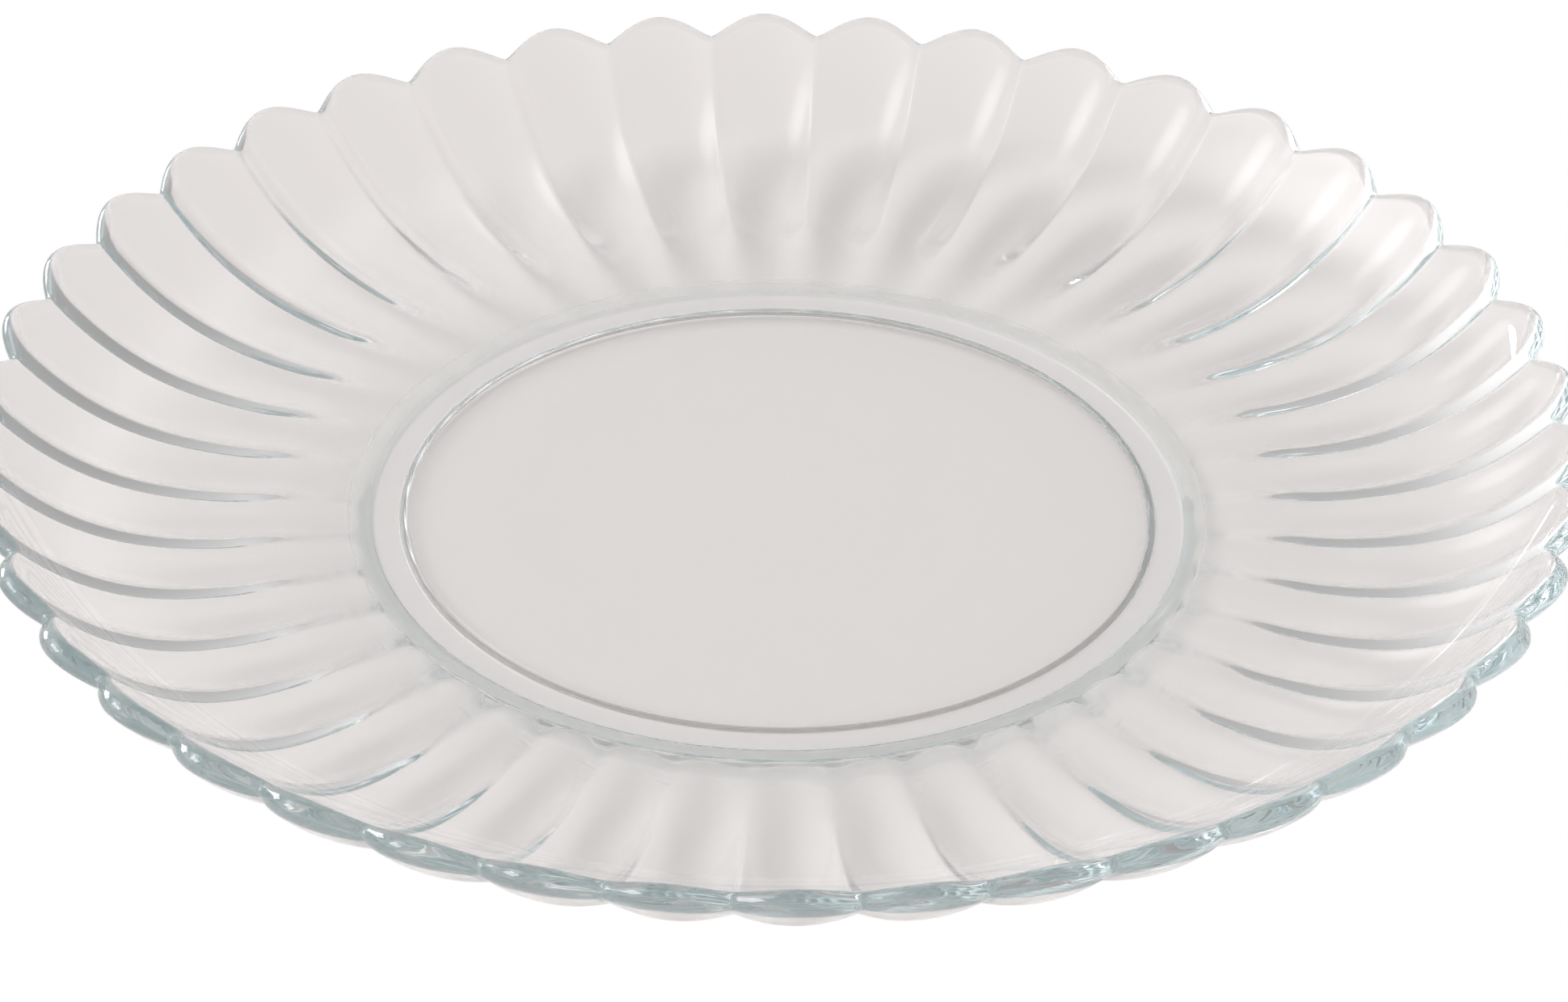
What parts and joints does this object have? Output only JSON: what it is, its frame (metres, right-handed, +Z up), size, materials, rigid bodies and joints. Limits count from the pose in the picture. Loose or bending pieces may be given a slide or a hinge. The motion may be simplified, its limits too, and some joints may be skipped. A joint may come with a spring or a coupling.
{
  "type": "dessert plate",
  "caption": "Round clear glass dessert plate with a flat well, a fluted flange, a scalloped full-round rim and a low foot ring.",
  "frame": {"origin": "centre of the foot ring's resting face", "axes": "+Z up along the plate's axis; +X through the tip of one scallop"},
  "size_m": [0.2, 0.1994, 0.0183],
  "materials": {
    "clear_glass": "fire-polished clear pressed glass with a faint blue-green edge"
  },
  "bodies": {
    "root": {"plate": "clear_glass"}
  },
  "joints": []
}
